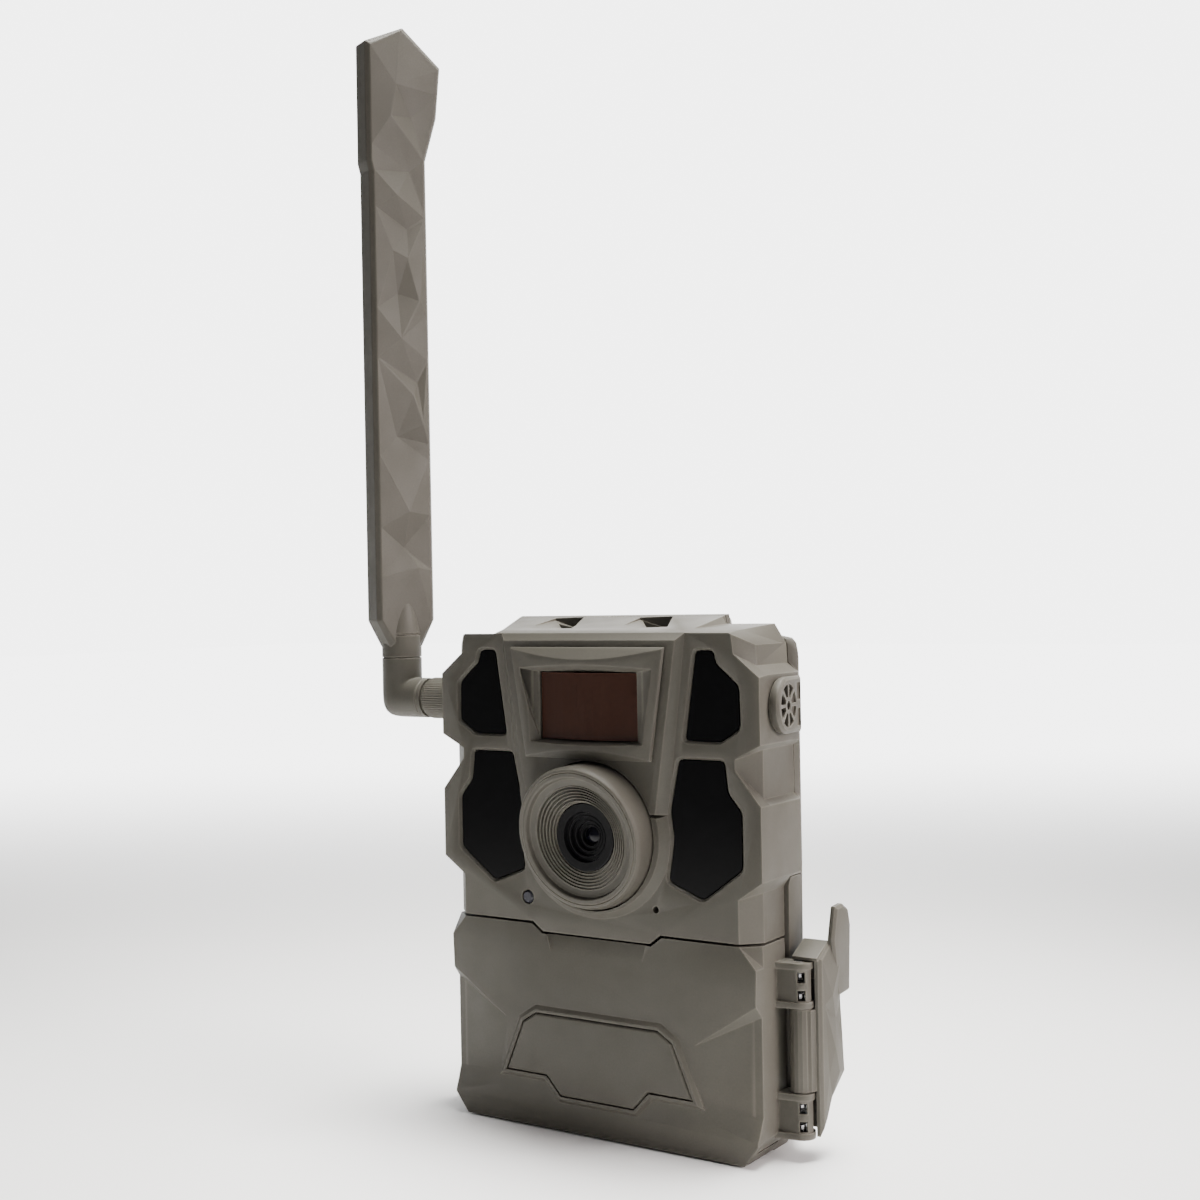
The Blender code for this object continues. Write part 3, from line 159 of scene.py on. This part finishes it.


class Nodes:
    """Short calls for building one material's node tree."""

    def __init__(self, name):
        self.material = bpy.data.materials.new(name)
        self.material.use_nodes = True
        self.tree = self.material.node_tree
        self.shader = self.tree.nodes["Principled BSDF"]

    def node(self, kind, settings=None, **inputs):
        made = self.tree.nodes.new(kind)
        for key, value in (settings or {}).items():
            setattr(made, key, value)
        for key, value in inputs.items():
            self.set(made, key.replace("_", " "), value)
        return made

    def set(self, node, socket, value):
        if isinstance(value, bpy.types.NodeSocket):
            self.tree.links.new(value, node.inputs[socket])
        else:
            node.inputs[socket].default_value = value

    def coordinates(self, scale=(1, 1, 1)):
        where = self.node("ShaderNodeTexCoord").outputs["Object"]
        return self.node("ShaderNodeMapping", Vector=where, Scale=scale).outputs["Vector"]

    def noise(self, size_mm, detail=2.0, stretch=(1, 1, 1)):
        """Noise whose features are about size_mm across; stretch above 1 shortens them along that axis."""
        where = self.coordinates(stretch)
        made = self.node("ShaderNodeTexNoise", Vector=where, Scale=1 / (size_mm * MM), Detail=detail)
        return made.outputs["Fac"]

    def between(self, factor, low, high, start=0.3, end=0.7):
        """A number that goes from low to high as factor goes from start to end."""
        return map_range(self.tree, factor, (start, end), (low, high))

    def mix(self, factor, first, second):
        """One colour into another; the colours are triples or sockets."""
        made = self.node("ShaderNodeMix", {"data_type": "RGBA"})
        self.set(made, 0, factor)
        for index, colour in ((6, first), (7, second)):
            self.set(made, index, (*colour, 1) if isinstance(colour, tuple) else colour)
        return made.outputs[2]

    def edges(self, width_mm):
        """1 along the object's sharp edges, fading to 0 over width_mm."""
        rounded = self.node("ShaderNodeBevel", {"samples": 4}, Radius=width_mm * MM).outputs["Normal"]
        facing = self.node("ShaderNodeVectorMath", {"operation": "DOT_PRODUCT"})
        self.set(facing, 0, rounded)
        self.set(facing, 1, self.node("ShaderNodeNewGeometry").outputs["Normal"])
        return self.between(facing.outputs["Value"], 1.0, 0.0, 0.9, 0.995)

    def bump(self, height, depth_mm, strength=1.0, under=None):
        made = self.node("ShaderNodeBump", Height=height, Distance=depth_mm * MM, Strength=strength)
        if under is not None:
            self.set(made, "Normal", under)
        return made.outputs["Normal"]


def shaded(colour, factor):
    return tuple(channel * factor for channel in colour)


def floor_finish():
    """Pale matt paper, lit from below far behind the object, as on a light table."""
    made = Nodes("floor_paper")
    where = made.node("ShaderNodeNewGeometry").outputs["Position"]
    behind = made.node("ShaderNodeVectorMath", {"operation": "DOT_PRODUCT"})
    made.set(behind, 0, where)
    made.set(behind, 1, -camera_back())
    glow = map_range(made.tree, behind.outputs["Value"], FLOOR_GLOW_SPAN, (0.0, FLOOR_GLOW), "SMOOTHSTEP")
    made.shader.inputs["Emission Color"].default_value = (1, 1, 1, 1)
    made.set(made.shader, "Emission Strength", glow)
    colour = made.mix(made.between(made.noise(300), 0, 1), (0.80, 0.80, 0.80), (0.83, 0.83, 0.83))
    made.set(made.shader, "Base Color", colour)
    made.shader.inputs["Roughness"].default_value = 0.9
    return made.material


def moulded_plastic(name, colour, roughness=0.55, grain_mm=0.22, grain_depth=0.035, specular=0.3):
    """Spark-eroded moulding: fine pitted grain, slow colour drift, faint specks, and a painted highlight
    along the sharp edges.
    """
    made = Nodes(name)
    drifting = made.between(made.noise(26, 3), 0, 1)
    drift = made.mix(drifting, shaded(colour, 1 - BLOTCH), shaded(colour, 1 + BLOTCH))
    speck = made.between(made.noise(grain_mm * 2.2, 3), 0, 1, 0.35, 0.75)
    body = made.mix(speck, drift, made.mix(0.5, drift, shaded(colour, 0.84)))
    # painted highlight: the sharp edges are painted paler, standing for light caught on their bevels
    edge_highlighted = made.mix(made.edges(EDGE_WIDTH), body, shaded(colour, EDGE_HIGHLIGHT))
    made.set(made.shader, "Base Color", edge_highlighted)
    made.set(made.shader, "Roughness", made.between(made.noise(9, 4), roughness - 0.05, roughness + 0.07))
    grain = made.bump(made.noise(grain_mm, 3), grain_depth, 0.8)
    made.set(made.shader, "Normal", made.bump(made.noise(14, 2), 0.05, 0.35, grain))
    made.shader.inputs["Specular IOR Level"].default_value = specular
    return made.material


def polished_window(name, colour, roughness=0.08, specular=0.35):
    """Smoked window: almost a mirror, with the slow waviness of a thin moulding."""
    made = Nodes(name)
    cloud = made.between(made.noise(12), 0, 1)
    made.set(made.shader, "Base Color", made.mix(cloud, colour, shaded(colour, 1.7)))
    made.set(made.shader, "Roughness", made.between(made.noise(7, 3), roughness, roughness + 0.07))
    made.set(made.shader, "Normal", made.bump(made.noise(9), 0.02, 0.4))
    made.shader.inputs["Specular IOR Level"].default_value = specular
    return made.material


def brushed_metal(name, colour, roughness=0.3):
    """Plated or turned metal with fine level streaks."""
    made = Nodes(name)
    streak = made.noise(0.6, 3, (1, 1, 8))
    made.set(made.shader, "Base Color", made.mix(streak, shaded(colour, 0.82), colour))
    made.shader.inputs["Metallic"].default_value = 1.0
    made.set(made.shader, "Roughness", made.between(streak, roughness - 0.08, roughness + 0.12))
    made.set(made.shader, "Normal", made.bump(streak, 0.01, 0.4))
    return made.material


TAUPE = (0.070, 0.065, 0.053)
BLACK = (0.004, 0.004, 0.0045)
SMOKE = (0.0008, 0.0008, 0.001)
BROWN = (0.034, 0.013, 0.008)
finishes = {
    "taupe_plastic": moulded_plastic("taupe_plastic_grain", TAUPE),
    "dark_taupe_plastic": moulded_plastic("dark_taupe_grain", shaded(TAUPE, 0.7)),
    "seal_rubber": moulded_plastic("seal_rubber_skin", (0.016, 0.016, 0.016), 0.8, 0.4, 0.02),
    "smoked_window": polished_window("smoked_window_gloss", SMOKE, specular=0.12),
    "brown_window": moulded_plastic("brown_window_satin", BROWN, 0.34, 0.5, 0.01, specular=0.15),
    "black_plastic": moulded_plastic("black_plastic_grain", BLACK, 0.42, specular=0.15),
    "lens_glass": polished_window("lens_glass_coated", (0.002, 0.002, 0.004), 0.12, 0.2),
    "clear_plastic": polished_window("clear_light_guide", (0.02, 0.02, 0.026), 0.1),
    "circuit_board": moulded_plastic("circuit_board_mask", (0.006, 0.05, 0.022), 0.35, 0.6, 0.02),
    "steel": brushed_metal("steel_plated", (0.46, 0.46, 0.47)),
    "shield_can": brushed_metal("shield_can_tin", (0.52, 0.52, 0.53), 0.35),
    "brass": brushed_metal("brass_turned", (0.62, 0.44, 0.16), 0.28),
    "cell_wrap": moulded_plastic("cell_wrap_film", (0.02, 0.02, 0.023), 0.25, 0.8, 0.01),
    "orange_button": moulded_plastic("orange_button_satin", (0.50, 0.10, 0.008), 0.45),
}


def soften(part, width_mm=0.35, segments=2, angle=28):
    """Rounds the sharp edges of a CAD node without touching its mesh."""
    weld = part.modifiers.new("weld", "WELD")
    weld.merge_threshold = 1e-5
    planar = part.modifiers.new("planar", "DECIMATE")
    planar.decimate_type = "DISSOLVE"
    planar.angle_limit = math.radians(1.0)
    bevel = part.modifiers.new("edges", "BEVEL")
    bevel.width = width_mm * MM
    bevel.segments = segments
    bevel.limit_method = "ANGLE"
    bevel.angle_limit = math.radians(angle)
    bevel.harden_normals = True
    part.data.shade_smooth()


def finish_cad_nodes():
    """Gives each CAD node its slot's finish, and rounds the edges of those that show most."""
    slots = {entry["node"]: entry["material_slot"] for entry in frame["record"]["subparts"]}
    for name, part in frame["nodes"].items():
        part.data.materials.clear()
        part.data.materials.append(finishes[slots[name]])
    for name in ("front_bezel", "rear_housing", "door", "pir_frame", "strap_bracket"):
        soften(frame["nodes"][name])
    for name in ("latch", "door_badge", "vent_cap"):
        soften(frame["nodes"][name], 0.2, 2, 20)


# ---------------------------------------------------------------- building finer pieces


def place(x, depth, z):
    """A point in metres from its x, depth behind the front face and height in millimetres."""
    return Vector((x, depth - FRONT, z)) * MM


def loft(rings):
    """A closed skin through rings of points, all with the same number of points, capped at both ends."""
    shape = bmesh.new()
    corners = [[shape.verts.new(place(*point)) for point in ring] for ring in rings]
    count = len(rings[0])
    for low, high in zip(corners, corners[1:]):
        for k in range(count):
            shape.faces.new((low[k], low[(k + 1) % count], high[(k + 1) % count], high[k]))
    shape.faces.new(corners[0])
    shape.faces.new(corners[-1])
    return shape


def revolve(profile, centre, axis, sides, ridge=0.0):
    """Spins (radius, along) points about an axis through centre; every other side is drawn in by ridge."""
    rings = []
    for radius, along in profile:
        ring = []
        for k in range(sides):
            angle = math.tau * k / sides
            reach = max(radius, 0.001) - (ridge if k % 2 and radius > ridge else 0.0)
            a, b = reach * math.cos(angle), reach * math.sin(angle)
            offset = {"X": (along, a, b), "D": (a, along, b), "Z": (a, b, along)}[axis]
            ring.append([start + step for start, step in zip(centre, offset)])
        rings.append(ring)
    return loft(rings)


def revolve_ring(profile, centre, sides):
    """A ring-shaped solid about the lens's axis: the profile closes on itself and never meets the axis."""
    shape = bmesh.new()
    rings = []
    for radius, along in profile:
        turns = [math.tau * k / sides for k in range(sides)]
        points = [(radius * math.cos(a), along, radius * math.sin(a)) for a in turns]
        moved = [[start + step for start, step in zip(centre, point)] for point in points]
        rings.append([shape.verts.new(place(*point)) for point in moved])
    for near, far in zip(rings, rings[1:] + rings[:1]):
        for k in range(sides):
            shape.faces.new((near[k], near[(k + 1) % sides], far[(k + 1) % sides], far[k]))
    return shape


def facet_corners(boundary, inner):
    """Triangles through a boundary and inner points: corners as (across, height, rise), and their faces."""
    count = len(boundary)
    flat = [Vector(point) for point in boundary] + [Vector(point[:2]) for point in inner]
    rises = [0.0] * count + [rise for *_, rise in inner]
    edges = [(k, (k + 1) % count) for k in range(count)]
    corners, _, faces, *_ = geometry.delaunay_2d_cdt(flat, edges, [], 1, 0.001)
    return [(*corner, rise) for corner, rise in zip(corners, rises)], faces


def wall(shape, first, second):
    """Faces between two closed loops of the same number of vertices."""
    for k in range(len(second)):
        after = (k + 1) % len(second)
        shape.faces.new((first[k], first[after], second[after], second[k]))


def piece(name, shape, finish, body, nodes=(), smooth=30, bevel_mm=0.0):
    """Adds one visible piece that moves with a body and stands for its CAD nodes."""
    bmesh.ops.recalc_face_normals(shape, faces=shape.faces)
    mesh = bpy.data.meshes.new(name)
    shape.to_mesh(mesh)
    shape.free()
    mesh.shade_smooth()
    mesh.set_sharp_from_angle(angle=math.radians(smooth))
    mesh.materials.append(finishes[finish])
    made = bpy.data.objects.new(name, mesh)
    bpy.context.scene.collection.objects.link(made)
    if bevel_mm:
        edges = made.modifiers.new("edges", "BEVEL")
        edges.width = bevel_mm * MM
        edges.segments = 2
        edges.limit_method = "ANGLE"
        edges.angle_limit = math.radians(20)
    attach(made, body)
    if nodes:
        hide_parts(*nodes)
    return made


# ---------------------------------------------------------------- lens hood and lens

LENS = (0.0, 0.0, 84.0)
HOOD_LEAN = math.tan(math.radians(9))  # the rim leans forward at the top
LEAN_FROM = -1.6  # the depth where the lean starts
LEAN_SPAN = 5.0
FUNNEL_OUTER = 14.6
FUNNEL_INNER = 9.5
FUNNEL_STEPS = 6


def add_lens_hood():
    """Round hood: a ridged rim, a smooth band, then fine steps down to the lens."""
    profile = [
        (20.2, 2.0), (20.2, -1.6), (19.9, -6.9), (19.7, -7.5), (19.2, -8.1), (18.6, -8.25), (18.35, -8.05),
        (18.1, -8.3), (17.2, -8.3), (16.9, -8.1), (16.6, -7.3), (16.45, -6.9), (15.0, -6.5),
    ]
    rise = (FUNNEL_OUTER - FUNNEL_INNER) / FUNNEL_STEPS
    for i in range(FUNNEL_STEPS):
        radius = FUNNEL_OUTER - rise * i
        depth = -6.1 + 2.0 * i / FUNNEL_STEPS
        profile += [(radius, depth - 0.35), (radius - 0.15, depth - 0.5), (radius - 0.4 * rise, depth - 0.4)]
        profile += [(radius - 0.5 * rise, depth + 0.45), (radius - rise, depth + 0.45)]
    profile += [(FUNNEL_INNER, -3.6), (FUNNEL_INNER, 2.0)]
    hood = revolve_ring(profile, LENS, 96)
    for vertex in hood.verts:
        depth = vertex.co.y / MM + FRONT
        forward = max(0.0, min(1.0, (LEAN_FROM - depth) / LEAN_SPAN))
        vertex.co.y -= HOOD_LEAN * (vertex.co.z - LENS[2] * MM) * forward
    piece("hood_detail", hood, "taupe_plastic", "camera", ["lens_hood"], smooth=25)


def add_lens():
    """Black lens front with nested rings stepping back to a small domed glass."""
    profile = [
        (9.35, 9.0), (9.35, -4.1), (9.1, -4.3), (7.0, -4.2), (6.8, -3.6),
        (6.6, -2.8), (6.0, -2.8), (5.8, -3.0), (5.5, -3.0),
        (5.3, -1.9), (4.6, -1.9), (4.4, -2.1), (4.1, -2.1),
        (3.9, -1.0), (3.3, -1.0), (3.1, -1.2), (2.8, -1.2),
        (2.6, -0.1), (0.0, -0.1), (0.0, 9.0),
    ]
    rings = revolve(profile, LENS, "D", 72)
    piece("lens_rings", rings, "black_plastic", "camera", ["lens_barrel"], smooth=25)
    dome = [(0.0, -0.9), (0.9, -0.78), (1.7, -0.45), (2.3, -0.12), (2.3, -0.1), (0.0, -0.1)]
    glass = revolve(dome, LENS, "D", 48)
    piece("lens_dome", glass, "lens_glass", "camera", ["lens_element", "lens_cover"], smooth=50)


# ---------------------------------------------------------------- antenna

PORT_DEPTH = 14.4
PORT_HEIGHT = 119.8
NUT_END = -68.4
KNURL_DEPTH = 0.16
STEM_X = -80.0
STEM_RADIUS = 6.1
SWIVEL_Z = 132.3
BLADE_AZIMUTH = math.radians(67)
BLADE_HALF_THICKNESS = 4.5
BLADE_MIDDLE_Z = 230.0
BLADE_OUTLINE = [
    (-5.4, 135.4), (5.4, 135.4), (9.7, 143.6), (9.5, 286.0), (13.6, 300.0), (15.2, 316.0), (2.4, 326.5),
    (-10.5, 320.5), (-10.6, 284.0), (-9.8, 281.0), (-9.8, 143.6),
]
BLADE_BEVEL = 1.2
BLADE_BEVEL_DEPTH = 1.4
# Where the facets of the blade's broad faces meet: (across, height, rise), then heights along each edge.
BLADE_FACETS = [
    (-1.4, 308, 1.2), (4.6, 299, -0.8), (-3.2, 298, 1.2), (3.6, 282, -0.8), (-1.6, 274, 1.2),
    (2.5, 264, -0.6), (-3.0, 257, 0.5), (1.9, 255, 0.8), (-1.1, 244, -0.8), (5.6, 242, 1.0),
    (-0.9, 230, 1.2), (5.0, 217, -0.8), (3.2, 213, 0.6), (-2.2, 200, -0.8), (6.2, 204, 1.0),
    (0.8, 177, 1.1), (0.2, 165, -0.6), (3.6, 160, 0.7),
]
LEFT_FACETS = (307, 289, 270, 239, 224, 194, 172, 157)
RIGHT_FACETS = (307, 296, 268, 238, 224, 198, 193, 176, 159)


def add_nut():
    """Nut with a fine knurl, which turns on the side socket."""
    profile = [
        (3.3, -53.2), (5.7, -53.2), (6.2, -53.7), (6.25, -54.0), (6.25, -66.9), (6.1, -67.4), (5.7, -67.9),
        (5.6, NUT_END), (3.3, NUT_END),
    ]
    nut = revolve(profile, (0, PORT_DEPTH, PORT_HEIGHT), "X", 112, KNURL_DEPTH)
    piece("nut_knurled", nut, "taupe_plastic", "antenna_nut", ["antenna_nut"], smooth=12)


def add_elbow():
    """Right-angle elbow with a tight, slightly squared bend and a flange against the nut."""
    inner, sides, steps, squareness = 0.4, 48, 16, 6
    reach = STEM_RADIUS + inner
    corner = Vector((STEM_X + reach, PORT_DEPTH, PORT_HEIGHT + reach))

    def ring(turn, stretch, shift=(0, 0, 0), grow=0.0):
        """A round section hung from the bend's inner corner, turned from upright to level."""
        away = Vector((-math.sin(turn), 0, -math.cos(turn)))
        points = []
        for k in range(sides):
            angle = math.tau * k / sides
            radius = STEM_RADIUS + grow
            out = inner + STEM_RADIUS - radius * math.cos(angle)
            sideways = Vector((0, radius * math.sin(angle), 0))
            points.append(corner + away * out * stretch + sideways + Vector(shift))
        return points

    start = NUT_END - 0.3 - corner.x
    rings = [
        ring(0, 1, (start, 0, 0), -1.2), ring(0, 1, (start, 0, 0), -0.1), ring(0, 1, (start - 1.3, 0, 0)),
        ring(0, 1, (start - 1.5, 0, 0), -0.35), ring(0, 1, (start - 1.8, 0, 0), -0.05),
    ]
    for i in range(steps + 1):
        turn = math.pi / 2 * i / steps
        squared = math.cos(turn) ** squareness + math.sin(turn) ** squareness
        rings.append(ring(turn, squared ** (-1 / squareness)))
    top = SWIVEL_Z - 0.25 - corner.z
    rings += [ring(math.pi / 2, 1, (0, 0, top - 0.15)), ring(math.pi / 2, 1, (0, 0, top), -0.15)]
    piece("elbow_smooth", loft(rings), "taupe_plastic", "antenna_elbow", ["antenna_elbow"], smooth=30)


def blade_point(across, out, z):
    """A point of the blade: across its width, out of its broad face, and up."""
    wide = Vector((math.cos(BLADE_AZIMUTH), math.sin(BLADE_AZIMUTH), 0))
    face = Vector((math.sin(BLADE_AZIMUTH), -math.cos(BLADE_AZIMUTH), 0))
    return Vector((STEM_X, PORT_DEPTH, z)) + wide * across + face * out


def blade_rim():
    """The flat edge of the broad face: the outline drawn in sideways, and down or up at its two ends."""
    rim = []
    for u, z in BLADE_OUTLINE:
        inward = -math.copysign(BLADE_BEVEL, z - BLADE_MIDDLE_Z) if z > 310 or z < 140 else 0.0
        rim.append((u - math.copysign(BLADE_BEVEL, u), z + inward))
    return rim


def edge_at(rim, z, side):
    """How far across the rim is at height z, on the left (-1) or the right (1)."""
    points = sorted((height, u) for u, height in rim if u * side > 0)
    for (z0, u0), (z1, u1) in zip(points, points[1:]):
        if z0 <= z <= z1:
            return u0 + (u1 - u0) * (z - z0) / (z1 - z0)
    return points[0][1]


def add_blade():
    """Blade antenna: a bevelled flat moulding whose broad faces are cut into long shallow facets."""
    rim = blade_rim()
    pairs = list(zip(rim, BLADE_OUTLINE))  # each point of the rim with the one it has on the outline
    for side, heights in ((-1, LEFT_FACETS), (1, RIGHT_FACETS)):
        for z in heights:
            pairs.append(((edge_at(rim, z, side), z), (edge_at(BLADE_OUTLINE, z, side), z)))
    right = sorted([pair for pair in pairs if pair[0][0] > 0], key=lambda pair: pair[0][1])
    left = sorted([pair for pair in pairs if pair[0][0] < 0], key=lambda pair: -pair[0][1])
    boundary, outline = zip(*(right + left))
    corners, faces = facet_corners(boundary, BLADE_FACETS)
    shape = bmesh.new()
    waists = []
    for side in (-1, 1):
        broad = [blade_point(u, side * (BLADE_HALF_THICKNESS + rise), z) for u, z, rise in corners]
        face = [shape.verts.new(place(*point)) for point in broad]
        for corner in faces:
            shape.faces.new([face[k] for k in corner])
        edge = [blade_point(u, side * (BLADE_HALF_THICKNESS - BLADE_BEVEL_DEPTH), z) for u, z in outline]
        waists.append([shape.verts.new(place(*point)) for point in edge])
        wall(shape, face, waists[-1])
    wall(shape, *waists)
    piece("blade_faceted", shape, "taupe_plastic", "antenna_blade", ["antenna_paddle"], 4, bevel_mm=0.25)


def add_blade_stem():
    """Round stem that swivels in the elbow and runs up into the blade as a cone."""
    cone = [
        (0.0, 131.0), (5.6, 131.0), (5.6, SWIVEL_Z - 0.1),
        (STEM_RADIUS - 0.1, SWIVEL_Z), (STEM_RADIUS, SWIVEL_Z + 0.15), (STEM_RADIUS, 138.8),
        (STEM_RADIUS - 0.3, 139.0), (STEM_RADIUS - 0.3, 139.4), (STEM_RADIUS, 139.6),
        (STEM_RADIUS - 0.1, 140.6), (4.6, 149.5), (3.6, 158.0), (2.4, 160.0), (0.0, 160.4),
    ]
    stem = revolve(cone, (STEM_X, PORT_DEPTH, 0), "Z", 48)
    piece("blade_stem", stem, "taupe_plastic", "antenna_blade", smooth=30)


# ---------------------------------------------------------------- painted shade in the roof holes

ROOF_HOLES = [
    [(-23.6, 18.9), (-16.8, 21.2), (-11.2, 9.6), (-14.2, 10.0)],
    [(4.6, 20.2), (13.4, 21.2), (19.2, 9.4), (10.7, 13.3)],
]


def add_roof_hole_shade():
    """Painted shade: a thin black cup in each hole at the deep end of a roof pocket, standing for the shade
    inside the hole.
    """
    for name, hole in zip(("hole_shade_left", "hole_shade_right"), ROOF_HOLES):
        middle = Vector((sum(x for x, _ in hole), sum(d for _, d in hole))) / len(hole)

        def outline(scale):
            return [middle + (Vector(corner) - middle) * scale for corner in hole]

        rings = [
            [(x, d, z) for x, d in outline(scale)]
            for scale, z in ((0.99, 135.65), (0.99, 137.4), (0.93, 137.4), (0.93, 135.9))
        ]
        # painted shade: the black cups stand for the shade deep in each hole
        piece(name, loft(rings), "black_plastic", "camera", smooth=20)


# ---------------------------------------------------------------- latch

# The latch's outer face, as (depth, height), and where its facets meet, as (depth, height, rise).
LATCH_FACE = [
    (16.1, 9.0), (18.1, 11.2), (21.0, 15.8), (28.7, 21.0), (27.8, 31.6), (26.8, 40.5), (27.4, 50.4),
    (24.6, 54.9), (21.0, 56.0), (16.1, 52.9),
]
LATCH_FACETS = [
    (17.6, 40.5, 0.15), (20.4, 43.0, 1.0), (23.4, 36.0, 0.2), (24.2, 50.0, 1.1), (21.4, 29.0, 1.1),
    (25.4, 29.5, 0.4), (19.0, 22.0, 0.3), (23.8, 21.6, 1.0), (25.0, 43.0, 0.5),
]
LATCH_FACE_X = 61.05
LATCH_FACE_DEPTH = 0.8


def add_latch_facets():
    """The shallow triangular facets of the latch's outer face."""
    corners, faces = facet_corners(LATCH_FACE, LATCH_FACETS)
    shape = bmesh.new()
    top = [shape.verts.new(place(LATCH_FACE_X + rise, d, z)) for d, z, rise in corners]
    for corner in faces:
        shape.faces.new([top[k] for k in corner])
    base = [shape.verts.new(place(LATCH_FACE_X - LATCH_FACE_DEPTH, d, z)) for d, z in LATCH_FACE]
    shape.faces.new(base)
    wall(shape, top, base)
    piece("latch_facets", shape, "taupe_plastic", "latch", smooth=3, bevel_mm=0.15)


def add_latch_web():
    """The latch plate's inner wall, which closes the view between the door's lugs and the plate."""
    near, front, back = 54.6, 19.3, 20.3
    rings = [
        [(near, front, z), (far, front, z), (far, back, z), (near, back, z)]
        for far, z in ((57.4, 7.4), (60.0, 12.5), (60.0, 53.0))
    ]
    piece("latch_inner_wall", loft(rings), "dark_taupe_plastic", "latch", smooth=30, bevel_mm=0.15)


finish_cad_nodes()
add_lens_hood()
add_lens()
add_nut()
add_elbow()
add_blade()
add_blade_stem()
add_roof_hole_shade()
add_latch_web()
add_latch_facets()
add_studio()
add_camera()
